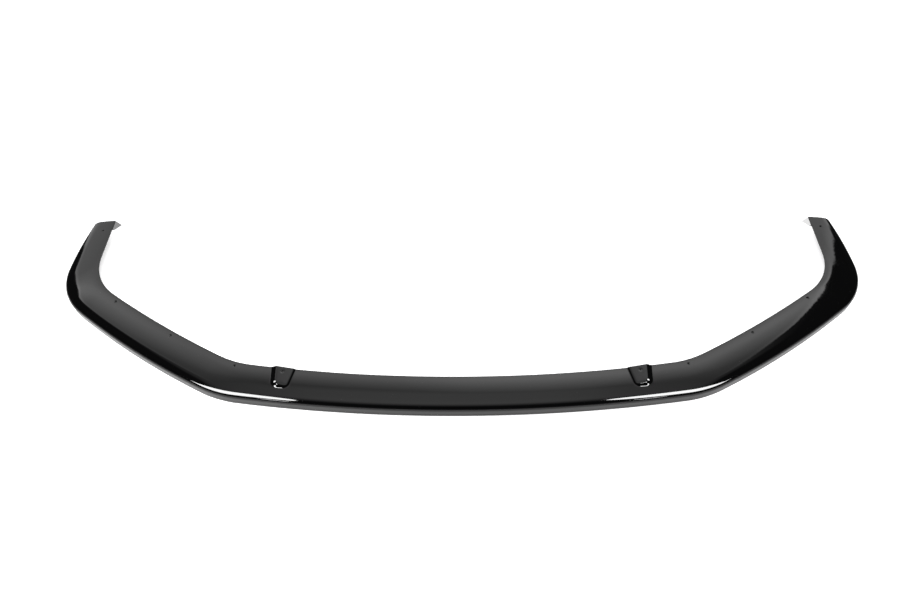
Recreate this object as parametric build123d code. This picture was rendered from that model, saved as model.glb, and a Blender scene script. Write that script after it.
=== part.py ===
from build123d import *
import os
from itertools import accumulate
from math import asin, atan2, cos, degrees, radians, sin, sqrt, tan

# Front splitter lip: one sheet of gloss plastic, formed over a mould and then trimmed.
# Sizes are in mm and angles in degrees. X runs across the car, Y to the rear, Z up.
# The lower edge of the lip lies on Z = 0.

# Overall size and sheet
overall_width = 1800.0
overall_depth = 543.0
flange_height = 37.0
sheet = 4.0
edge_break = 0.8

# Nose line in plan, the outermost line, from the middle outwards: tangent arcs, the last along the arm
nose_centre_radius = 3170.0
nose_centre_turn = 8.6
nose_bend_radius = 240.0
nose_bend_turn = 21.0
nose_run_turn = 11.5
nose_corner_radius = 143.0
nose_arm_toe_in = 7.5
nose_arm_radius = 880.0

# Rear edge in plan, where the flange is trimmed: tangent arcs, then a straight arm
lip_width = 79.5
rear_centre_radius = 2920.0
rear_centre_turn = 8.8
rear_bend_radius = 210.0
rear_bend_turn = 21.0
rear_run_turn = 8.2
rear_corner_radius = 130.0
rear_corner_width = 71.5
rear_arm_toe_in = 5.2

# Formed section: crowned flange, shoulder, rolled nose and undercut front face
crown_radius = 400.0
crown_tilt = 8.0
shoulder_radius = 50.0
shoulder_tilt = 25.0
nose_radius = 8.0
undercut = 10.0

# Lower edge, level round the front and rising along the arms to the tips
rise_start = 70.0
tip_edge_height = 23.0
rise_blend_radius = 500.0
tip_corner_radius = 14.0

# Raised tongue each side of the middle, which carries a screw
tongue_along = 378.0
tongue_height = 6.3
tongue_length = 51.0
tongue_rear_width = 56.0
tongue_front_width = 37.0
tongue_outer_slope = 10.0
tongue_inner_slope = 3.0
tongue_front_slope = 5.0
tongue_fall = 5.5
tongue_foot_corner = 13.0
tongue_top_corner = 9.0
tongue_rim_radius = 2.5
tongue_set_back = 1.0
tongue_overrun = 12.0
tongue_hole_diameter = 3.6
tongue_sink_diameter = 6.4

# Screw holes in the flange: insets from the rear edge, and distances along it
hole_diameter = 3.6
hole_sink_diameter = 5.0
hole_inset = 11.5
tip_hole_inset = 20.4
hole_past_bend_start = 33.5
hole_past_bend_end = 125.0
hole_before_corner = 20.5
hole_before_tip = 33.5

# Ear turned down from the rear edge of each tip
ear_length = 34.0
ear_drop = 14.0
ear_lean = 41.0
ear_sheet = 3.0
ear_step = 0.5
ear_root = 5.0
ear_bend_radius = 3.5

# Stock left on for trimming, and the overlap of the two halves at the middle
flange_stock = 14.0
edge_stock = 6.0
tip_stock = 30.0
middle_stock = 5.0

half_width = overall_width / 2
half_depth = overall_depth / 2


def run_radius(reach, start_radius, start_turn, bend_radius, bend_turn, run_turn, corner_radius):
    """Radius of the angled run that brings the outside of the corner to its reach from the middle."""
    bend_heading = start_turn + bend_turn
    run_heading = bend_heading + run_turn
    bend_end = start_radius * sin(radians(start_turn))
    bend_end += bend_radius * (sin(radians(bend_heading)) - sin(radians(start_turn)))
    run_end = reach - corner_radius * (1 - sin(radians(run_heading)))
    return (run_end - bend_end) / (sin(radians(run_heading)) - sin(radians(bend_heading)))


def tangent_arcs(start_y, arcs):
    """Tangent arcs in plan, from the middle of the car outwards."""
    line = []
    start, heading = Vector(0, start_y), Vector(1, 0)
    for radius, turn in arcs:
        line.append(JernArc(start, heading, radius, turn))
        start, heading = line[-1] @ 1, line[-1] % 1
    return line


nose_sizes = (nose_centre_radius, nose_centre_turn, nose_bend_radius, nose_bend_turn, nose_run_turn)
nose_run_radius = run_radius(half_width, *nose_sizes, nose_corner_radius)
nose_corner_turn = 90 + nose_arm_toe_in - nose_centre_turn - nose_bend_turn - nose_run_turn
nose_arcs = [
    (nose_centre_radius, nose_centre_turn),
    (nose_bend_radius, nose_bend_turn),
    (nose_run_radius, nose_run_turn),
    (nose_corner_radius, nose_corner_turn),
]
nose_line = tangent_arcs(-half_depth, nose_arcs)
arm_start = nose_line[-1] @ 1
tip_sine = sin(radians(nose_arm_toe_in)) + (half_depth + tip_stock - arm_start.Y) / nose_arm_radius
nose_arcs.append((nose_arm_radius, degrees(asin(tip_sine)) - nose_arm_toe_in))
nose_line.append(JernArc(arm_start, nose_line[-1] % 1, *nose_arcs[-1]))

rear_sizes = (rear_centre_radius, rear_centre_turn, rear_bend_radius, rear_bend_turn, rear_run_turn)
rear_run_radius = run_radius(half_width - rear_corner_width, *rear_sizes, rear_corner_radius)
rear_corner_turn = 90 + rear_arm_toe_in - rear_centre_turn - rear_bend_turn - rear_run_turn
rear_arcs = [
    (rear_centre_radius, rear_centre_turn),
    (rear_bend_radius, rear_bend_turn),
    (rear_run_radius, rear_run_turn),
    (rear_corner_radius, rear_corner_turn),
]
rear_line = tangent_arcs(lip_width - half_depth, rear_arcs)
rear_arm_start, rear_arm_way = rear_line[-1] @ 1, rear_line[-1] % 1
past_tip = half_depth + 2 * tip_stock
rear_arm_length = (past_tip - rear_arm_start.Y) / rear_arm_way.Y
rear_line.append(Line(rear_arm_start, rear_arm_start + rear_arm_way * rear_arm_length))
nose_wire = Wire(nose_line)
rear_wire = Wire(rear_line)


def lean_out(tilt, length):
    """Section step that stands up from the sheet and leans towards the nose by the tilt."""
    return Vector(-sin(radians(tilt)), cos(radians(tilt))) * length


# Centres of the section's arcs: across is measured inwards from the nose line
crown_across = nose_radius + (shoulder_radius - nose_radius) * sin(radians(shoulder_tilt))
crown_across += (crown_radius - shoulder_radius) * sin(radians(crown_tilt))
crown_up = flange_height - sqrt(crown_radius**2 - (lip_width - crown_across) ** 2)
crown = Vector(crown_across, crown_up)
shoulder = crown + lean_out(crown_tilt, crown_radius - shoulder_radius)
nose = shoulder + lean_out(shoulder_tilt, shoulder_radius - nose_radius)
stock_tilt = degrees(asin((crown_across - lip_width - flange_stock) / crown_radius))
face_tilt = 90 + undercut
face_down = Vector(sin(radians(undercut)), -cos(radians(undercut)))


def skin(depth):
    """One face of the sheet, from the flange stock over the nose and down the front face."""
    flange = CenterArc(crown, crown_radius - depth, 90 + stock_tilt, crown_tilt - stock_tilt)
    roll = CenterArc(shoulder, shoulder_radius - depth, 90 + crown_tilt, shoulder_tilt - crown_tilt)
    front = CenterArc(nose, nose_radius - depth, 90 + shoulder_tilt, face_tilt - shoulder_tilt)
    foot = front @ 1
    face = Line(foot, foot + face_down * ((foot.Y + edge_stock) / cos(radians(undercut))))
    return [flange, roll, front, face]


outer_skin = skin(0)
inner_skin = skin(sheet)
closing = [Line(outer_skin[-1] @ 1, inner_skin[-1] @ 1), Line(inner_skin[0] @ 0, outer_skin[0] @ 0)]
section = make_face(outer_skin + inner_skin + closing)


def square_to(point, heading):
    """Upright plane across the lip, with its first axis pointing inwards."""
    inwards = Vector(-heading.Y, heading.X, 0)
    return Plane(point, x_dir=inwards, z_dir=inwards.cross(Vector(0, 0, 1)))


# One half of the formed sheet: the section turned round each arc of the nose line
half = Part()
for line, (radius, turn) in zip(nose_line, nose_arcs):
    axis = Axis(line.arc_center, (0, 0, 1))
    half += revolve(square_to(line @ 0, line % 0) * section, axis, turn)

# Trims: the rear edge in plan, and the lower edge in side view, rising to the tips
rear_start = rear_line[0] @ 0
rear_end = rear_line[-1] @ 1
bay_outline = rear_line + [
    Polyline(rear_end, (-middle_stock, rear_end.Y), (-middle_stock, rear_start.Y), rear_start)
]
bay = extrude(make_face(bay_outline), 4 * flange_height, both=True)

rise_slope = tip_edge_height / (half_depth - rise_start)
past_height = rise_slope * (past_tip - rise_start)
lower_edge = FilletPolyline(
    (-past_tip, 0), (rise_start, 0), (past_tip, past_height), radius=rise_blend_radius
)
below = make_face(
    lower_edge + Polyline(lower_edge @ 1, (past_tip, -past_tip), (-past_tip, -past_tip), lower_edge @ 0)
)
waste = extrude(Plane.YZ * below, 2 * overall_width, both=True)
half = half - bay - waste


def flange_top(point):
    """Height of the crowned flange at a plan point."""
    across = nose_wire.distance_to(Vector(point.X, point.Y, 0))
    return crown.Y + sqrt(crown_radius**2 - (across - crown.X) ** 2)


def on_upper_rear_edge(edge):
    """True for the upper edges of the trimmed rear face."""
    middle = edge @ 0.5
    on_line = rear_wire.distance_to(Vector(middle.X, middle.Y, 0)) < edge_break / 10
    return on_line and abs(middle.Z - flange_top(middle)) < edge_break / 10


# The upper edge of the rear trim is broken
half = chamfer(half.edges().filter_by(on_upper_rear_edge), edge_break)


def on_flange(along, inset):
    """Plan point at a distance along the rear edge and an inset from it, and the edge's direction there."""
    edge_point = rear_wire.position_at(along, position_mode=PositionMode.LENGTH)
    edge_way = rear_wire.tangent_at(along, position_mode=PositionMode.LENGTH)
    return edge_point + Vector(edge_way.Y, -edge_way.X) * inset, edge_way


# Raised tongue: a tapered pad on the flange, with the sheet following it underneath
tongue_root, tongue_way = on_flange(tongue_along, 0)
tongue_toe = on_flange(tongue_along, tongue_length)[0]
tongue_frame = Plane(tongue_root, x_dir=tongue_way, z_dir=(0, 0, 1))
foot_fall = degrees(atan2(flange_top(tongue_root) - flange_top(tongue_toe), tongue_length))
tongue_top = flange_height + tongue_height
tongue_seat = tongue_top - (tongue_rear_width / 2 - tongue_outer_slope) * tan(radians(tongue_fall))


def tongue_outline(inner_slope, outer_slope, front_slope, corner):
    half_rear, half_front = tongue_rear_width / 2, tongue_front_width / 2
    outline = Polyline(
        (half_rear - outer_slope, tongue_overrun),
        (half_front - outer_slope, front_slope - tongue_length),
        (inner_slope - half_front, front_slope - tongue_length),
        (inner_slope - half_rear, tongue_overrun),
        close=True,
    )
    face = make_face(outline)
    return fillet(face.vertices().sort_by(Axis.Y)[:2], corner)


foot_plane = Pos(0, 0, flange_top(tongue_root) - sheet / 2) * Rot(foot_fall, 0, 0)
tongue_foot = foot_plane * tongue_outline(0, 0, 0, tongue_foot_corner)
crest_plane = Pos(0, 0, tongue_seat) * Rot(0, -tongue_fall, 0)
tongue_crest = crest_plane * tongue_outline(
    tongue_inner_slope, tongue_outer_slope, tongue_front_slope, tongue_top_corner
)
tongue = loft([tongue_foot, tongue_crest], ruled=True)
rim = tongue.faces().sort_by(Axis.Z)[-1].edges().sort_by(Axis.Y)[:-1]
tongue = fillet(rim, tongue_rim_radius)
behind_tongue = Pos(0, past_tip - tongue_set_back, 0) * Box(past_tip, 2 * past_tip, past_tip)
pad = tongue_frame * (tongue - behind_tongue)
hollow = tongue_frame * (Pos(0, 0, -sheet) * tongue)
half = half + pad - hollow

# Ear: the sheet turned down at the rear edge of the tip and cut to a triangle
tip_along = (half_depth - rear_arm_start.Y) / rear_arm_way.Y
tip_point = rear_arm_start + rear_arm_way * tip_along
ear_inwards = Vector(-rear_arm_way.Y, rear_arm_way.X, 0)
ear_corner = tip_point + Vector(0, 0, flange_top(tip_point) - ear_step)
ear_frame = Plane(ear_corner, x_dir=ear_inwards, z_dir=rear_arm_way)
bend_share = tan(radians(90 - ear_lean) / 2)
leg_way = Vector(sin(radians(ear_lean)), -cos(radians(ear_lean)))
leg_across = Vector(-cos(radians(ear_lean)), -sin(radians(ear_lean)))
fold = Vector(ear_step, 0)
inner_fold = fold + Vector(-ear_sheet * bend_share, -ear_sheet)
leg_end = fold + leg_way * (ear_drop / cos(radians(ear_lean)))
leg_foot = leg_end + leg_across * ear_sheet
ear_outline = make_face(
    Polyline((-ear_root, 0), fold, leg_end, leg_foot, inner_fold, (-ear_root, -ear_sheet), close=True)
)
ear_outline = fillet(ear_outline.vertices().sort_by_distance(fold)[0], ear_bend_radius)
ear_outline = fillet(ear_outline.vertices().sort_by_distance(inner_fold)[0], ear_bend_radius - ear_sheet)
ear = extrude(ear_frame * ear_outline, ear_length, dir=-rear_arm_way)
ear += extrude(ear_frame * ear_outline, ear_step, dir=rear_arm_way)
ear_side = Plane(ear_corner, x_dir=-rear_arm_way, z_dir=ear_inwards)
ear_slope = (ear_drop - 2 * ear_step) / ear_length
ear_waste = make_face(
    Polyline(
        (-past_tip, -ear_drop - ear_slope * past_tip),
        (past_tip, -ear_drop + ear_slope * past_tip),
        (past_tip, -2 * past_tip),
        (-past_tip, -2 * past_tip),
        close=True,
    )
)
ear -= extrude(ear_side * ear_waste, past_tip, both=True)
half += ear

# Tip: square cut, with the outer corner rounded between the arm's arc and the cut
behind = Pos(0, half_depth + past_tip, 0) * Box(2 * overall_width, 2 * past_tip, 2 * past_tip)
arm_centre = nose_line[-1].arc_center
corner_y = half_depth - tip_corner_radius
corner_out = sqrt((nose_arm_radius - tip_corner_radius) ** 2 - (corner_y - arm_centre.Y) ** 2)
corner_centre = Vector(arm_centre.X + corner_out, corner_y)
corner_start = degrees(atan2(corner_y - arm_centre.Y, corner_out))
corner_arc = CenterArc(corner_centre, tip_corner_radius, corner_start, 90 - corner_start)
outwards = (corner_arc @ 0 - corner_centre).normalized() * tip_stock
corner_waste = make_face(
    [
        corner_arc,
        Polyline(
            corner_arc @ 1,
            corner_arc @ 1 + Vector(0, tip_stock),
            corner_centre + Vector(2 * tip_stock, 2 * tip_stock),
            corner_arc @ 0 + outwards,
            corner_arc @ 0,
        ),
    ]
)
half = half - behind - extrude(corner_waste, 4 * flange_height, both=True)


# Screw holes, each with its edge eased or sunk on the upper side
def screw_hole(point, top, diameter, sink_diameter):
    sink_depth = (sink_diameter - diameter) / 2
    bore = Cylinder(diameter / 2, 4 * flange_height)
    sink = Cone(diameter / 2, sink_diameter - diameter / 2, 2 * sink_depth)
    return Pos(point.X, point.Y, top) * (bore + sink)


bend_start, bend_end, corner_start, corner_end = list(accumulate(line.length for line in rear_line))[:4]
flange_holes = [
    on_flange(bend_start + hole_past_bend_start, hole_inset)[0],
    on_flange(bend_end + hole_past_bend_end, hole_inset)[0],
    on_flange(corner_start - hole_before_corner, hole_inset)[0],
    on_flange(corner_end + tip_along - hole_before_tip, tip_hole_inset)[0],
]
for point in flange_holes:
    half -= screw_hole(point, flange_top(point), hole_diameter, hole_sink_diameter)
tongue_hole = on_flange(tongue_along, hole_inset)[0]
half -= screw_hole(tongue_hole, tongue_seat, tongue_hole_diameter, tongue_sink_diameter)

part = half + mirror(half, about=Plane.YZ)

os.makedirs("parts", exist_ok=True)
part.label = "splitter_lip"
export_step(part, "parts/splitter_lip.step")
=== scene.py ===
from math import acos, atan2, cos, pi, radians, sin, sqrt, tan

import bmesh
import bpy
import numpy as np
from mathutils import Matrix, Vector


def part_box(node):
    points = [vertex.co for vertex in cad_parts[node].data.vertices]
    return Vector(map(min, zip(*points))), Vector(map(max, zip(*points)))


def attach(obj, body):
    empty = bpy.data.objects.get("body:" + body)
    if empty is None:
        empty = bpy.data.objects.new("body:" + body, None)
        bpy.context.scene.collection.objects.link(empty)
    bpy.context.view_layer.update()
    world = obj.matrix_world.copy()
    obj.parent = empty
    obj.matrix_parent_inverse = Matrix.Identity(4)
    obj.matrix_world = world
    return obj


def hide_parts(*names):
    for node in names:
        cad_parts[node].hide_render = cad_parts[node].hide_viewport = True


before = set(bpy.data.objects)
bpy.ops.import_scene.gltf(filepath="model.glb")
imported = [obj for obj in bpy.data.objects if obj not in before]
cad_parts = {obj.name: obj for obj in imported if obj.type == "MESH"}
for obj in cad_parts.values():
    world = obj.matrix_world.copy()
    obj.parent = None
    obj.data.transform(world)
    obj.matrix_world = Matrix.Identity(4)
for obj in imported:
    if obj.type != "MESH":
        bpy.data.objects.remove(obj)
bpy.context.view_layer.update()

# Viewpoint
# A camera on a high stand in front of the lip, looking down at it by 50 degrees through a 47 mm lens.
# It stands close to the centre line, turned by half a degree and tipped by less than one.
picture_width = 920
focal_pixels = 1200
sensor_width = 36
look_down = radians(50)
look_aside = radians(-0.569)
camera_tip = radians(0.742)
camera_distance = 2.703
aim_point = Vector((-0.0031, 0.0315, 0))
forward = Vector((sin(look_aside) * cos(look_down), cos(look_aside) * cos(look_down), -sin(look_down)))
level_right = Vector((cos(look_aside), -sin(look_aside), 0))
level_down = forward.cross(level_right)
camera_right = level_right * cos(camera_tip) + level_down * sin(camera_tip)
camera_down = level_down * cos(camera_tip) - level_right * sin(camera_tip)
camera_data = bpy.data.cameras.new("camera")
camera_data.sensor_width = sensor_width
camera_data.lens = sensor_width * focal_pixels / picture_width
camera = bpy.data.objects.new("camera", camera_data)
camera_turn = Matrix((camera_right, -camera_down, -forward)).transposed().to_4x4()
camera.matrix_world = Matrix.Translation(aim_point - forward * camera_distance) @ camera_turn
bpy.context.scene.collection.objects.link(camera)
bpy.context.scene.camera = camera
bpy.context.scene.view_settings.view_transform = "Standard"

# Formed sheet
# The whole lip is one sheet of gloss black plastic, drawn hot over a mould and trimmed round its edges.
# A crowned flange, a shoulder, a rolled nose and an undercut face are carried round the nose line, in mm.
millimetre = 0.001
lip_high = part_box("splitter_lip")[1]
half_width = round(lip_high.x / millimetre)
half_depth = round(lip_high.y / millimetre, 1)
flange_height = 37.0
sheet = 4.0
edge_break = 0.8
rim_break = 0.5


def run_radius(reach, centre, bend, run_turn, corner_radius):
    """Radius of the angled run that brings the outside of the corner to its reach from the middle."""
    bend_heading = centre[1] + bend[1]
    run_heading = bend_heading + run_turn
    bend_end = centre[0] * sin(centre[1]) + bend[0] * (sin(bend_heading) - sin(centre[1]))
    run_end = reach - corner_radius * (1 - sin(run_heading))
    return (run_end - bend_end) / (sin(run_heading) - sin(bend_heading))


def outline_arcs(reach, centre, bend, run_turn, corner_radius, toe_in, arm):
    """Radius and turn of each tangent arc, from the middle of the lip out to the end of the arm."""
    run = (run_radius(reach, centre, bend, run_turn, corner_radius), run_turn)
    corner = (corner_radius, pi / 2 + toe_in - centre[1] - bend[1] - run_turn)
    return [centre, bend, run, corner, arm]


def arc_ends(arcs):
    """Distance from the middle of the lip to the end of each arc."""
    return np.cumsum([radius * turn for radius, turn in arcs])


def follow(start_y, arcs, distances):
    """Plan points and headings at distances along a chain of tangent arcs that starts on the centre line."""
    points = np.zeros((len(distances), 2))
    headings = np.zeros(len(distances))
    place = np.array([0.0, start_y])
    heading = travelled = 0.0
    for radius, turn in arcs:
        here = distances >= travelled
        angles = heading + (distances[here] - travelled) / radius
        points[here, 0] = place[0] + radius * (np.sin(angles) - sin(heading))
        points[here, 1] = place[1] + radius * (cos(heading) - np.cos(angles))
        headings[here] = angles
        place += radius * np.array([sin(heading + turn) - sin(heading), cos(heading) - cos(heading + turn)])
        heading += turn
        travelled += radius * turn
    return points, headings


# Nose line, the outermost line in plan
outline_step = 0.5
nose_start = -half_depth
nose_arm = (880.0, radians(10.3))
nose_arcs = outline_arcs(
    reach=half_width,
    centre=(3170.0, radians(8.6)),
    bend=(240.0, radians(21)),
    run_turn=radians(11.5),
    corner_radius=143.0,
    toe_in=radians(7.5),
    arm=nose_arm,
)
nose_ends = arc_ends(nose_arcs)
nose_length = nose_ends[-1]
nose_points = follow(nose_start, nose_arcs, np.arange(0, nose_length, outline_step))[0]

# Trimmed rear edge, whose arm is straight and so has an arc of a very large radius
lip_width = 79.5
corner_width = 71.5
rear_toe_in = radians(5.2)
rear_arm_length = 180.0
straight = 1e6
rear_start = lip_width - half_depth
rear_arcs = outline_arcs(
    reach=half_width - corner_width,
    centre=(2920.0, radians(8.8)),
    bend=(210.0, radians(21)),
    run_turn=radians(8.2),
    corner_radius=130.0,
    toe_in=rear_toe_in,
    arm=(straight, rear_arm_length / straight),
)
rear_ends = arc_ends(rear_arcs)
rear_distances = np.arange(0, rear_ends[-1], outline_step)
rear_points = follow(rear_start, rear_arcs, rear_distances)[0]

# Section: centres and radii of its arcs, with across measured inwards from the nose line
crown_radius, crown_tilt = 400.0, radians(8)
shoulder_radius, shoulder_tilt = 50.0, radians(25)
nose_radius, undercut = 8.0, radians(10)
face_tilt = pi / 2 + undercut
nose_across = nose_radius
shoulder_across = nose_across + (shoulder_radius - nose_radius) * sin(shoulder_tilt)
crown_across = shoulder_across + (crown_radius - shoulder_radius) * sin(crown_tilt)
crown_up = flange_height - sqrt(crown_radius**2 - (lip_width - crown_across) ** 2)
shoulder_up = crown_up + (crown_radius - shoulder_radius) * cos(crown_tilt)
nose_up = shoulder_up + (shoulder_radius - nose_radius) * cos(shoulder_tilt)
shoulder_reach = shoulder_radius * (shoulder_tilt - crown_tilt)
nose_reach = shoulder_reach + nose_radius * (face_tilt - shoulder_tilt)


def flange_up(across, depth):
    """Height of the crowned flange, or of a layer at a depth under it."""
    return crown_up + np.sqrt((crown_radius - depth) ** 2 - (across - crown_across) ** 2)


def front_skin(reach, depth):
    """Across and up, at a reach past the flange round shoulder, nose and face, at a depth under the skin."""
    on_shoulder = reach < shoulder_reach
    tilt = np.where(
        on_shoulder,
        crown_tilt + reach / shoulder_radius,
        np.minimum(shoulder_tilt + (reach - shoulder_reach) / nose_radius, face_tilt),
    )
    radius = np.where(on_shoulder, shoulder_radius, nose_radius) - depth
    centre_across = np.where(on_shoulder, shoulder_across, nose_across)
    centre_up = np.where(on_shoulder, shoulder_up, nose_up)
    down_face = np.maximum(reach - nose_reach, 0)
    across = centre_across - radius * np.sin(tilt) + down_face * sin(undercut)
    up = centre_up + radius * np.cos(tilt) - down_face * cos(undercut)
    return across, up


def foot_reach(foot, depth):
    """Reach at which the skin at a depth comes down to the height of the lower edge."""
    face_top = nose_up + (nose_radius - depth) * cos(face_tilt)
    if foot < face_top:
        return nose_reach + (face_top - foot) / cos(undercut)
    return shoulder_reach + nose_radius * (acos((foot - nose_up) / (nose_radius - depth)) - shoulder_tilt)


# Lower edge: level round the front, then rising along the arm to the tip
rise_start, tip_foot, rise_blend = 70.0, 23.0, 500.0
rise_slope = tip_foot / (half_depth - rise_start)
blend_back = rise_blend * tan(atan2(rise_slope, 1) / 2)


def lower_edge(y):
    """Height of the lower edge at a place fore and aft."""
    past_blend = y - rise_start + blend_back
    if past_blend <= 0:
        return 0.0
    if y < rise_start + blend_back * cos(atan2(rise_slope, 1)):
        return rise_blend - sqrt(rise_blend**2 - past_blend**2)
    return rise_slope * (y - rise_start)


# Raised tongues: each carries a screw and falls inwards and forwards, and the sheet follows it underneath
tongue_along, tongue_top, tongue_length, tongue_overrun = 378.0, 43.3, 51.0, 12.0
tongue_rear_width, tongue_front_width = 56.0, 37.0
tongue_fall, tongue_dip = tan(radians(5.0)), tan(radians(3.2))
outer_slope, inner_slope, front_slope = 10.0, 3.0, 7.0
outer_corner, inner_corner = 15.0, 12.0
foot_blend, rim_blend = 1.0, 1.6
tongue_start = np.array(
    [np.interp(tongue_along, rear_distances, rear_points[:, axis]) for axis in (0, 1)]
)
tongue_turn = tongue_along / rear_arcs[0][0]

# The outer front corner alone is eased: a longer wall there, with a softer foot and a crisper rim
outer_ease, inner_ease = 1.0, 0.0
corner_ease, corner_blend = 6.0, 1.2


def soft_ramp(value, blend):
    """Ramp that is 0 below a value of 0 and follows it above, rounded over the blend."""
    return (value + np.sqrt(value**2 + blend**2)) / 2


def tongue_rise(x, y, up):
    """How far the tongue lifts the sheet at plan points whose flange height is known."""
    along = (np.abs(x) - tongue_start[0]) * cos(tongue_turn) + (y - tongue_start[1]) * sin(tongue_turn)
    ahead = (np.abs(x) - tongue_start[0]) * sin(tongue_turn) - (y - tongue_start[1]) * cos(tongue_turn)
    taper = (tongue_rear_width - tongue_front_width) / 2 / (tongue_length + tongue_overrun)
    half_tongue = tongue_rear_width / 2 - taper * (ahead + tongue_overrun)
    level = tongue_top - np.maximum(tongue_rear_width / 2 - outer_slope - along, 0) * tongue_fall
    level = level - np.maximum(ahead, 0) * tongue_dip
    front = tongue_length - ahead
    sides = [
        (half_tongue - along, outer_slope, outer_corner, outer_ease),
        (half_tongue + along, inner_slope, inner_corner, inner_ease),
    ]
    walls = []
    for side, slope, corner, ease in sides:
        rounded = corner - np.hypot(corner - side, corner - front)
        inside = np.where((side < corner) & (front < corner), rounded, np.minimum(side, front))
        turn = np.arctan2(np.maximum(corner - side, 0), np.maximum(corner - front, 0))
        at_corner = ease * np.sin(2 * turn) ** 2
        run = front_slope + (slope - front_slope) * np.sin(turn) ** 2 + corner_ease * at_corner
        foot = foot_blend + corner_blend * at_corner
        rim = rim_blend - corner_blend * at_corner
        share = inside / run
        walls.append(soft_ramp(share, foot / run) - soft_ramp(share - 1, rim / run))
    return np.minimum(*walls) * np.maximum(level - up, 0)


# Screw holes: four along each side and one on each tongue, each in a shallow dish with a low boss below
hole_inset, tip_hole_inset = 11.5, 20.4
past_bend_start, past_run_start, before_corner, before_tip = 33.5, 125.0, 20.5, 33.5
dish_depth, boss_height, dish_radius, tongue_dish_radius = 0.45, 1.2, 4.0, 5.2
hole_bore, hole_break = 3.6, 0.15
bend_start, run_start, corner_start, corner_end = rear_ends[:4]
arm_start = follow(rear_start, rear_arcs, np.array([corner_end]))[0][0]
tip_along = corner_end + (half_depth - arm_start[1]) / cos(rear_toe_in)


def on_flange(along, inset):
    """Plan point at a distance along the rear edge and an inset from it."""
    points, headings = follow(rear_start, rear_arcs, np.array([along]))
    return points[0] + inset * np.array([sin(headings[0]), -cos(headings[0])])


flange_holes = [
    (on_flange(bend_start + past_bend_start, hole_inset), dish_radius),
    (on_flange(run_start + past_run_start, hole_inset), dish_radius),
    (on_flange(corner_start - before_corner, hole_inset), dish_radius),
    (on_flange(tip_along - before_tip, tip_hole_inset), dish_radius),
]
tongue_hole = (on_flange(tongue_along, hole_inset), tongue_dish_radius)
screw_holes = flange_holes + [tongue_hole]


def dish(x, y):
    """Share of its full depth that the nearest dish has at plan points."""
    share = np.zeros(len(x))
    for point, radius in screw_holes:
        from_middle = np.hypot(np.abs(x) - point[0], y - point[1]) / radius
        share += np.maximum(1 - from_middle**2, 0) ** 2
    return share


# Places along the nose line: close together round tight arcs, across the tongues and past the screw holes
longest_step, turn_step, tongue_step, dish_step = 8.0, radians(0.8), 1.0, 0.8
tongue_zone_before, tongue_zone_after, dish_margin = 36.0, 54.0, 3.0
fine_zones = [(tongue_along - tongue_zone_before, tongue_along + tongue_zone_after, tongue_step)]
for point, radius in flange_holes:
    hole_place = np.argmin(np.hypot(*(nose_points - point).T)) * outline_step
    fine_zones.append((hole_place - radius - dish_margin, hole_place + radius + dish_margin, dish_step))
places = [0.0]
while places[-1] < nose_length:
    arc_number = min(np.searchsorted(nose_ends, places[-1], side="right"), len(nose_arcs) - 1)
    step = min(longest_step, nose_arcs[arc_number][0] * turn_step)
    for zone_start, zone_end, zone_step in fine_zones:
        if zone_start - longest_step < places[-1] < zone_end:
            step = min(step, max(zone_start - places[-1], zone_step))
    places.append(places[-1] + step)
place_points, place_headings = follow(nose_start, nose_arcs, np.array(places))

# Columns of faces round the section, and the least front face that is left below the nose at the tips
flange_columns, shoulder_columns, nose_columns, face_columns = 46, 6, 16, 4
under_flange_columns, under_front_columns = 28, 9
least_face = 1.0


def sheet_width(point, heading):
    """Distance from the nose line to the trimmed rear edge, square to the nose line."""
    apart = rear_points - point
    along = apart[:, 0] * cos(heading) + apart[:, 1] * sin(heading)
    across = apart[:, 1] * cos(heading) - apart[:, 0] * sin(heading)
    crossing = np.where((along[:-1] <= 0) & (along[1:] > 0) & (across[:-1] > 0))[0]
    first = crossing[np.argmin(across[crossing])]
    share = -along[first] / (along[first + 1] - along[first])
    return across[first] + share * (across[first + 1] - across[first])


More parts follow.
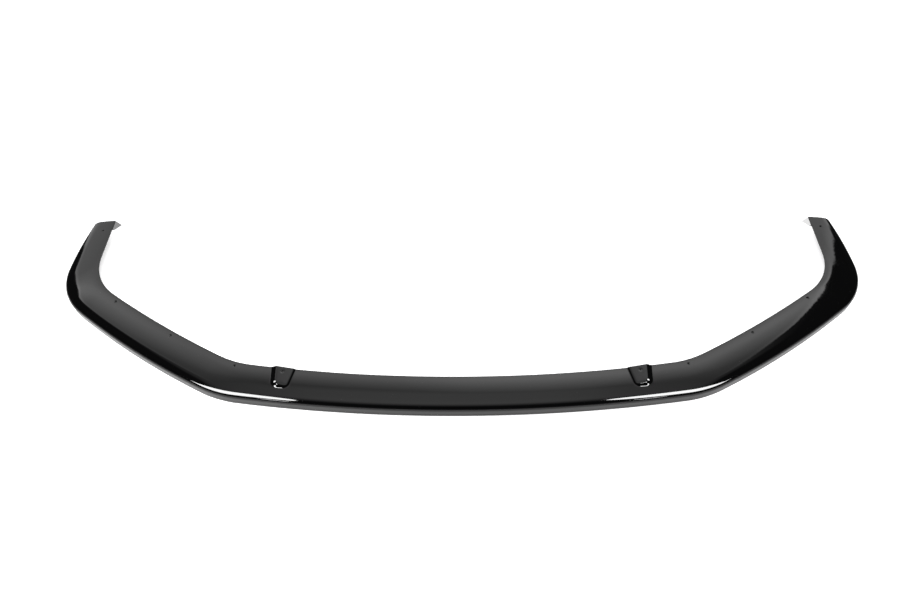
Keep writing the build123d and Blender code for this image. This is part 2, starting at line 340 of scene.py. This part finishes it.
def section_ring(point, heading):
    """Closed ring of points round the sheet: over the flange and the nose, under the rim and back."""
    width = sheet_width(point, heading)
    inward = np.array([-sin(heading), cos(heading)])
    foot = lower_edge(point[1] + inward[1] * nose_radius / 2)
    crown_end = shoulder_across - shoulder_radius * sin(crown_tilt)
    under_end = crown_end + sheet * sin(crown_tilt)

    flange_across = np.linspace(width - edge_break, crown_end, flange_columns)
    under_across = np.linspace(under_end, width - edge_break / 2, under_flange_columns)
    broken = edge_break * (1 - sqrt(0.5))
    rear_across = np.array([width, width, width - broken])
    rear_depth = np.array([sheet - edge_break / 2, edge_break, broken])
    back_across = np.concatenate([rear_across, flange_across, under_across])
    back_depth = np.concatenate([rear_depth, np.zeros(flange_columns), np.full(under_flange_columns, sheet)])
    back_up = flange_up(back_across, 0) - back_depth
    back_up[-under_flange_columns:] = flange_up(under_across, sheet)
    x = point[0] + inward[0] * back_across
    y = point[1] + inward[1] * back_across
    back_up = back_up + tongue_rise(x, y, flange_up(back_across, 0)) - dish_depth * dish(x, y)
    back_up[-under_flange_columns:] -= boss_height * dish(x, y)[-under_flange_columns:]

    end = foot_reach(foot, 0) - rim_break
    nose_end = min(nose_reach, end - least_face)
    reach = np.concatenate(
        [
            np.linspace(0, shoulder_reach, shoulder_columns + 1)[1:],
            np.linspace(shoulder_reach, nose_end, nose_columns + 1)[1:],
            np.linspace(nose_end, end, face_columns + 1)[1:],
        ]
    )
    under_reach = np.linspace(foot_reach(foot, sheet), 0, under_front_columns + 1)[:-1]
    front = [
        front_skin(reach, 0.0),
        front_skin(np.array([foot_reach(foot, rim_break)]), rim_break),
        front_skin(under_reach, sheet),
    ]
    front_across = np.concatenate([part[0] for part in front])
    front_up = np.concatenate([part[1] for part in front])

    over = len(rear_across) + flange_columns
    across = np.concatenate([back_across[:over], front_across, back_across[over:]])
    up = np.concatenate([back_up[:over], front_up, back_up[over:]])
    return np.column_stack([point[0] + inward[0] * across, point[1] + inward[1] * across, up])


def mesh_piece(name, vertices, faces):
    """Object made from points in mm, with its faces turned outwards."""
    mesh = bpy.data.meshes.new(name)
    mesh.from_pydata((np.asarray(vertices) * millimetre).tolist(), [], faces)
    shell = bmesh.new()
    shell.from_mesh(mesh)
    bmesh.ops.triangulate(shell, faces=shell.faces)
    bmesh.ops.recalc_face_normals(shell, faces=shell.faces)
    shell.to_mesh(mesh)
    shell.free()
    piece = bpy.data.objects.new(name, mesh)
    bpy.context.scene.collection.objects.link(piece)
    return piece


def tube(name, rings):
    """Closed tube through rings of points, with a face over each end."""
    count = len(rings[0])
    faces = [list(range(count))[::-1]]
    for ring in range(len(rings) - 1):
        first = ring * count
        for here in range(count):
            after = (here + 1) % count
            faces.append([first + here, first + after, first + count + after, first + count + here])
    last = (len(rings) - 1) * count
    faces.append([last + here for here in range(count)])
    return mesh_piece(name, np.concatenate(rings), faces)


mirror = np.array([-1.0, 1.0, 1.0])
right_rings = [section_ring(point, heading) for point, heading in zip(place_points, place_headings)]
left_rings = [ring * mirror for ring in right_rings[:0:-1]]
lip = tube("formed_sheet", left_rings + right_rings)

# Ears
# At the rear edge of each tip the sheet turns down into a small ear of the same plastic, cut to a triangle.
# The ears are bent from the sheet, so their meshes are joined to its own further down.
ear_length, ear_drop, ear_lean = 34.0, 14.0, radians(41)
ear_sheet, ear_step, ear_root, ear_bend = 3.0, 0.5, 5.0, 3.5
ear_bend_points, ear_sections = 9, 12


def flange_top(point):
    """Height of the flange at a plan point."""
    return flange_up(np.min(np.hypot(*(nose_points - point).T)), 0)


ear_base = on_flange(tip_along, 0)
ear_top = flange_top(ear_base) - ear_step
ear_inwards = np.array([-cos(rear_toe_in), -sin(rear_toe_in)])
ear_forwards = np.array([sin(rear_toe_in), -cos(rear_toe_in)])
ear_slope = (ear_drop - 2 * ear_step) / ear_length
ear_start, ear_end = -4.0, (ear_drop - sheet) / ear_slope


def ear_face(radius, drop):
    """Inwards and up along one face of the ear: from its root, round the bend and down the leg."""
    turns = np.linspace(0, pi / 2 - ear_lean, ear_bend_points)
    inwards = ear_step - ear_bend * tan(turns[-1] / 2) + radius * np.sin(turns)
    up = -ear_bend + radius * np.cos(turns)
    foot = inwards[-1] + (drop + up[-1]) * tan(ear_lean)
    inwards = np.concatenate([[-ear_root], inwards, [foot]])
    up = np.concatenate([[up[0]], up, [-drop]])
    return np.column_stack([inwards, up])


def ear_ring(past_tip):
    """Section of the ear at a distance forward of the tip: down its outer face and back up the inner one."""
    drop = ear_drop - ear_slope * past_tip
    outer_face = ear_face(ear_bend, drop)
    inner_face = ear_face(ear_bend - ear_sheet, drop)
    inwards, up = np.concatenate([outer_face, inner_face[::-1]]).T
    plan = ear_base + np.outer(inwards, ear_inwards) + past_tip * ear_forwards
    return np.column_stack([plan, ear_top + up])


ear_rings = [ear_ring(past_tip) for past_tip in np.linspace(ear_start, ear_end, ear_sections)]
ears = [tube("ear_right", ear_rings), tube("ear_left", [ring * mirror for ring in ear_rings[::-1]])]

# Trimmed tips and bores
# The sheet is sawn off square across each tip, rounded at the tip's outer corner, and drilled for ten screws.
# Each cut has a closed tool of its own, which is taken away from the joined sheet and ears.
tip_corner, tip_corner_points = 14.0, 13
saw_reach, saw_depth, saw_low, saw_high = 120.0, 60.0, -60.0, 80.0
arm_radius = nose_arm[0]
corner_place, corner_heading = follow(nose_start, nose_arcs, nose_ends[3:4])
arm_centre = corner_place[0] + arm_radius * np.array([-sin(corner_heading[0]), cos(corner_heading[0])])
round_y = half_depth - tip_corner
round_x = arm_centre[0] + sqrt((arm_radius - tip_corner) ** 2 - (round_y - arm_centre[1]) ** 2)
round_start = atan2(round_y - arm_centre[1], round_x - arm_centre[0])
tip_outline = [[round_x + saw_reach * cos(round_start), round_y + saw_reach * sin(round_start)]]
tip_outline += [
    [round_x + tip_corner * cos(angle), round_y + tip_corner * sin(angle)]
    for angle in np.linspace(round_start, pi / 2, tip_corner_points)
]
tip_outline += [
    [round_x - saw_reach, half_depth],
    [round_x - saw_reach, half_depth + saw_depth],
    [round_x + saw_reach, half_depth + saw_depth],
]
tip_rings = [np.array([[x, y, z] for x, y in tip_outline]) for z in (saw_low, saw_high)]
cutters = [
    tube("tip_cut_right", tip_rings),
    tube("tip_cut_left", [ring * mirror for ring in tip_rings[::-1]]),
]

# Each drill opens at 45 degrees from a little below the floor of the dish, which breaks the edge of the hole
drill_sides, drill_depth, drill_height = 40, 30.0, 3.0
drill_angles = (np.arange(drill_sides) + 0.5) * 2 * pi / drill_sides
drill_wide = hole_bore + 2 * (hole_break + drill_height)
hole_tops = [flange_top(point) for point, radius in flange_holes]
hole_tops += [tongue_top - (tongue_rear_width / 2 - outer_slope) * tongue_fall - hole_inset * tongue_dip]
for number, ((point, radius), hole_top) in enumerate(zip(screw_holes, hole_tops)):
    dish_floor = hole_top - dish_depth * (1 - (hole_bore / 2 / radius) ** 2) ** 2
    levels = [
        (hole_bore, dish_floor - drill_depth),
        (hole_bore, dish_floor - hole_break),
        (drill_wide, dish_floor + drill_height),
    ]
    for side, name in ((1, "right"), (-1, "left")):
        rings = []
        for diameter, height in levels:
            x = side * point[0] + diameter / 2 * np.cos(drill_angles)
            y = point[1] + diameter / 2 * np.sin(drill_angles)
            rings.append(np.column_stack([x, y, np.full(drill_sides, height)]))
        cutters.append(tube(f"hole_{number}_{name}", rings))


def combine(piece, tools, operation):
    """Join or cut the piece with the tools, and clear the tools away."""
    for tool in tools:
        change = piece.modifiers.new(tool.name, "BOOLEAN")
        change.operation = operation
        change.solver = "EXACT"
        change.object = tool
    evaluated = piece.evaluated_get(bpy.context.evaluated_depsgraph_get())
    changed = bpy.data.meshes.new_from_object(evaluated)
    piece.modifiers.clear()
    piece.data = changed
    for tool in tools:
        bpy.data.objects.remove(tool)


combine(lip, ears, "UNION")
combine(lip, cutters, "DIFFERENCE")
sharp_edge = radians(35)
lip.data.name = "formed_sheet"
lip.data.shade_smooth()
lip.data.set_sharp_from_angle(angle=sharp_edge)

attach(lip, "root")
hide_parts("splitter_lip")

# Gloss black plastic
# Moulded-in black with a polished face: a dark body under a clear mirror of the studio.
# Faint orange peel, a little haze and a few specks of dust break the mirror up.
plastic = bpy.data.materials.new("gloss_black")
plastic.use_nodes = True
plastic_nodes = plastic.node_tree.nodes
plastic_links = plastic.node_tree.links
plastic_shader = plastic_nodes["Principled BSDF"]
plastic_shader.inputs["IOR"].default_value = 1.55
plastic_place = plastic_nodes.new("ShaderNodeTexCoord").outputs["Object"]


def plastic_noise(scale, detail):
    """Cloudy pattern that runs through the whole lip, with its scale in waves per metre."""
    noise = plastic_nodes.new("ShaderNodeTexNoise")
    noise.inputs["Scale"].default_value = scale
    noise.inputs["Detail"].default_value = detail
    plastic_links.new(plastic_place, noise.inputs["Vector"])
    return noise.outputs["Fac"]


def spread(value, low, high, bottom, top):
    """The part of a pattern between low and high, spread from bottom to top."""
    node = plastic_nodes.new("ShaderNodeMapRange")
    node.inputs["From Min"].default_value = low
    node.inputs["From Max"].default_value = high
    node.inputs["To Min"].default_value = bottom
    node.inputs["To Max"].default_value = top
    plastic_links.new(value, node.inputs["Value"])
    return node.outputs["Result"]


haze = spread(plastic_noise(scale=14.0, detail=4.0), low=0.35, high=0.7, bottom=0.02, top=0.05)
plastic_links.new(haze, plastic_shader.inputs["Roughness"])
dust = spread(plastic_noise(scale=420.0, detail=0.0), low=0.86, high=0.9, bottom=0.0, top=1.0)
body_black = (0.0009, 0.0009, 0.001, 1)
dust_grey = (0.03, 0.03, 0.029, 1)
body = plastic_nodes.new("ShaderNodeMix")
body.data_type = "RGBA"
body.inputs["A"].default_value = body_black
body.inputs["B"].default_value = dust_grey
plastic_links.new(dust, body.inputs["Factor"])
plastic_links.new(body.outputs["Result"], plastic_shader.inputs["Base Color"])
peel_strength, peel_depth = 0.12, 0.0001
peel = plastic_nodes.new("ShaderNodeBump")
peel.inputs["Strength"].default_value = peel_strength
peel.inputs["Distance"].default_value = peel_depth
plastic_links.new(plastic_noise(scale=130.0, detail=1.0), peel.inputs["Height"])
plastic_links.new(peel.outputs["Normal"], plastic_shader.inputs["Normal"])
lip.data.materials.append(plastic)

# Studio floor
# A plain white floor, wide enough to fill the picture, that keeps a soft real shadow of the lip.
# Part of its white is a glow of its own: strong to the camera, weak in reflections, and faded out under and
# close to the lip, which paints shade there on top of the real shadow.
floor_size = 12.0
floor_drop = 0.0002
floor_albedo = 0.6
floor_glow = 0.88
mirrored_glow = 0.24
cover_distance, cover_samples = 0.06, 8
covered, uncovered = 0.1, 0.45
floor_mesh = bpy.data.meshes.new("studio_floor")
floor_signs = [(-1, -1), (1, -1), (1, 1), (-1, 1)]
floor_corners = [(x * floor_size, y * floor_size, -floor_drop) for x, y in floor_signs]
floor_mesh.from_pydata(floor_corners, [], [[0, 1, 2, 3]])
floor = bpy.data.objects.new("studio_floor", floor_mesh)
bpy.context.scene.collection.objects.link(floor)
white = bpy.data.materials.new("floor_white")
white.use_nodes = True
white_nodes = white.node_tree.nodes
white_links = white.node_tree.links
white_shader = white_nodes["Principled BSDF"]
white_shader.inputs["Base Color"].default_value = (floor_albedo, floor_albedo, floor_albedo, 1)
white_shader.inputs["Roughness"].default_value = 1.0
white_shader.inputs["Specular IOR Level"].default_value = 0.0
white_shader.inputs["Emission Color"].default_value = (1, 1, 1, 1)


def white_math(operation, first, second):
    """One sum in the floor's material, with the second value a socket or a number."""
    node = white_nodes.new("ShaderNodeMath")
    node.operation = operation
    white_links.new(first, node.inputs[0])
    if isinstance(second, float):
        node.inputs[1].default_value = second
    else:
        white_links.new(second, node.inputs[1])
    return node.outputs[0]


light_path = white_nodes.new("ShaderNodeLightPath").outputs
mirrored = white_math("MAXIMUM", light_path["Is Glossy Ray"], light_path["Is Transmission Ray"])
mirrored = white_math("MULTIPLY", mirrored, mirrored_glow)
glow = white_math("ADD", white_math("MULTIPLY", light_path["Is Camera Ray"], floor_glow), mirrored)
# Painted shade: the glow fades out where the lip covers the floor, darkening it under and beside the lip
cover = white_nodes.new("ShaderNodeAmbientOcclusion")
cover.samples = cover_samples
cover.inputs["Distance"].default_value = cover_distance
painted_shade_fade = white_nodes.new("ShaderNodeMapRange")
painted_shade_fade.interpolation_type = "SMOOTHSTEP"
painted_shade_fade.inputs["From Min"].default_value = covered
painted_shade_fade.inputs["From Max"].default_value = uncovered
white_links.new(cover.outputs["AO"], painted_shade_fade.inputs["Value"])
glow = white_math("MULTIPLY", glow, painted_shade_fade.outputs["Result"])
white_links.new(glow, white_shader.inputs["Emission Strength"])
floor_mesh.materials.append(white)

# Studio light
# A bright panel behind the lip, a dimmer strip overhead and a pale horizon in front, painted on a dark world.
# Two softboxes over the sides draw the white strips along the nose, two front lamps the short glints under
# them, and two cards behind the lip light the ears.
world = bpy.data.worlds.new("studio")
world.use_nodes = True
bpy.context.scene.world = world
world_nodes = world.node_tree.nodes
world_links = world.node_tree.links


def world_math(operation, first, second=None):
    """One sum on the world's direction, with either value a socket or a number."""
    node = world_nodes.new("ShaderNodeMath")
    node.operation = operation
    for socket, value in zip(node.inputs, (first, second)):
        if isinstance(value, (int, float)):
            socket.default_value = value
        elif value is not None:
            world_links.new(value, socket)
    return node.outputs[0]


def fade(value, start, end):
    """Smooth step from 0 at the start to 1 at the end."""
    node = world_nodes.new("ShaderNodeMapRange")
    node.interpolation_type = "SMOOTHSTEP"
    node.inputs["From Min"].default_value = start
    node.inputs["From Max"].default_value = end
    world_links.new(value, node.inputs["Value"])
    return node.outputs["Result"]


def profile(value, stops):
    """Curve through stops given as place and level, held level past its ends."""
    low, high = stops[0][0], stops[-1][0]
    bottom = min(level for place, level in stops)
    span = max(level for place, level in stops) - bottom
    node = world_nodes.new("ShaderNodeFloatCurve")
    share = world_math("DIVIDE", world_math("SUBTRACT", value, low), high - low)
    world_links.new(share, node.inputs["Value"])
    node.mapping.extend = "HORIZONTAL"
    curve = node.mapping.curves[0]
    curve.points[0].location = (0, (stops[0][1] - bottom) / span)
    curve.points[-1].location = (1, (stops[-1][1] - bottom) / span)
    for place, level in stops[1:-1]:
        curve.points.new((place - low) / (high - low), (level - bottom) / span)
    for point in curve.points:
        point.handle_type = "VECTOR"
    node.mapping.update()
    return world_math("ADD", world_math("MULTIPLY", node.outputs["Value"], span), bottom)


least_up = 0.01
way = world_nodes.new("ShaderNodeSeparateXYZ")
world_links.new(world_nodes.new("ShaderNodeTexCoord").outputs["Generated"], way.inputs["Vector"])
way_x, way_y, way_z = (way.outputs[name] for name in "XYZ")
upwards = world_math("MAXIMUM", way_z, least_up)
lean_aside = world_math("DIVIDE", way_x, upwards)
lean_back = world_math("DIVIDE", way_y, upwards)
azimuth = world_math("DEGREES", world_math("ARCTAN2", way_x, way_y))
elevation = world_math("DEGREES", world_math("ARCSINE", way_z))

# Panel behind: level bands, brightest half way up, set a little lower and dimmer towards the left
band_lifts = [(-30, 0.0), (-22, 0.005), (-14, 0.035), (-6, 0.05), (4, 0.055), (14, 0.065), (28, 0.0)]
band_levels = [(0.36, 0.25), (0.46, 0.42), (0.52, 0.56), (0.56, 0.8), (0.62, 1.15), (0.69, 1.58)]
band_levels += [(0.75, 1.95), (0.81, 1.98), (0.89, 1.5), (0.98, 1.18), (1.4, 1.15)]
side_levels = [(-38, 1.05), (-30, 0.97), (-22, 0.77), (-12, 0.75), (-6, 0.79)]
side_levels += [(0, 1.0), (8, 1.06), (18, 0.92), (24, 1.0)]
panel = profile(world_math("ADD", lean_back, profile(azimuth, band_lifts)), band_levels)
panel = world_math("MULTIPLY", panel, profile(azimuth, side_levels))

# Panel sides: places in azimuth against elevation, with a brighter border and a soft edge
left_side = [(18, -41.0), (34, -36.8), (40, -38.5), (44.5, -40.3), (47, -43.2), (52, -45.5), (55, -43.5)]
left_side += [(60, -41.0)]
right_side = [(20, 38.0), (34, 33.4), (40, 30.9), (43, 28.5), (47, 26.9), (50, 31.8), (53, 36.0), (60, 41.0)]
border_width, border_level, soft_edge = 2.5, 0.4, 0.3
from_left = world_math("SUBTRACT", azimuth, profile(elevation, left_side))
from_right = world_math("SUBTRACT", profile(elevation, right_side), azimuth)
from_side = world_math("MINIMUM", from_left, from_right)
border = world_math("MULTIPLY", fade(from_side, border_width, soft_edge), border_level)
panel = world_math("MULTIPLY", panel, world_math("ADD", border, 1.0))
panel = world_math("MULTIPLY", panel, fade(from_side, -soft_edge, soft_edge))

# Strip overhead: from the panel to just past the point above the lip
strip_shift, strip_front, strip_full = 0.02, -0.22, 0.12
strip_levels = [(0.0, 0.8), (0.1, 0.78), (0.15, 0.71), (0.22, 0.52), (0.28, 0.45), (0.36, 0.37), (0.44, 0.18)]
strip_levels += [(0.5, 0.0)]
strip_back = [(0.2, 1.0), (0.45, 0.9), (0.6, 0.3), (0.7, 0.0)]
strip = profile(world_math("ABSOLUTE", world_math("ADD", lean_aside, strip_shift)), strip_levels)
strip = world_math("MULTIPLY", strip, fade(lean_back, strip_front, strip_full))
strip = world_math("MULTIPLY", strip, profile(lean_back, strip_back))

# Horizon in front: a low pale band, the far end of the white floor
horizon_level, horizon_top, horizon_full = 0.3, 24.0, 7.0
horizon_side, horizon_front = 0.1, -0.35
horizon = world_math(
    "MULTIPLY",
    fade(elevation, horizon_top, horizon_full),
    fade(way_y, horizon_side, horizon_front),
)
horizon = world_math("MULTIPLY", horizon, horizon_level)

# Dark room round them, which the camera sees as a white backdrop
room = 0.035
brightness = world_math("ADD", world_math("MAXIMUM", panel, strip), room)
brightness = world_math("ADD", brightness, horizon)
world_path = world_nodes.new("ShaderNodeLightPath")
backdrop = world_math("MAXIMUM", world_path.outputs["Is Camera Ray"], brightness)
world_links.new(backdrop, world_nodes["Background"].inputs["Strength"])
world_nodes["Background"].inputs["Color"].default_value = (1, 1, 1, 1)

# Lamps: name, place, width and depth, level of white, and the point that each one faces
lamps = [
    ("softbox_left", (-0.99, -0.42, 1.0), (0.84, 0.4), 21.0, (-0.99, -0.42, 0.0)),
    ("softbox_right", (0.915, -0.37, 1.0), (0.86, 0.275), 21.0, (0.915, -0.37, 0.0)),
    ("front_left", (-0.87, -1.3, 1.0), (0.14, 0.3), 21.0, (-0.87, -1.3, 0.0)),
    ("front_right", (0.83, -1.2, 1.0), (0.14, 0.3), 18.0, (0.83, -1.2, 0.0)),
    ("card_left", (-0.31, 1.1, 0.46), (0.3, 0.3), 14.0, (0.86, 0.25, 0.03)),
    ("card_right", (0.31, 1.1, 0.46), (0.3, 0.3), 5.0, (-0.86, 0.25, 0.03)),
]
for name, place, size, level, target in lamps:
    lamp_area = pi / 4 * size[0] * size[1]
    lamp_data = bpy.data.lights.new(name, "AREA")
    lamp_data.shape = "ELLIPSE"
    lamp_data.size, lamp_data.size_y = size
    lamp_data.energy = level * pi * lamp_area
    lamp = bpy.data.objects.new(name, lamp_data)
    lamp_way = Vector(target) - Vector(place)
    lamp.location = place
    lamp.rotation_euler = lamp_way.to_track_quat("-Z", "Y").to_euler()
    bpy.context.scene.collection.objects.link(lamp)

bpy.context.view_layer.update()
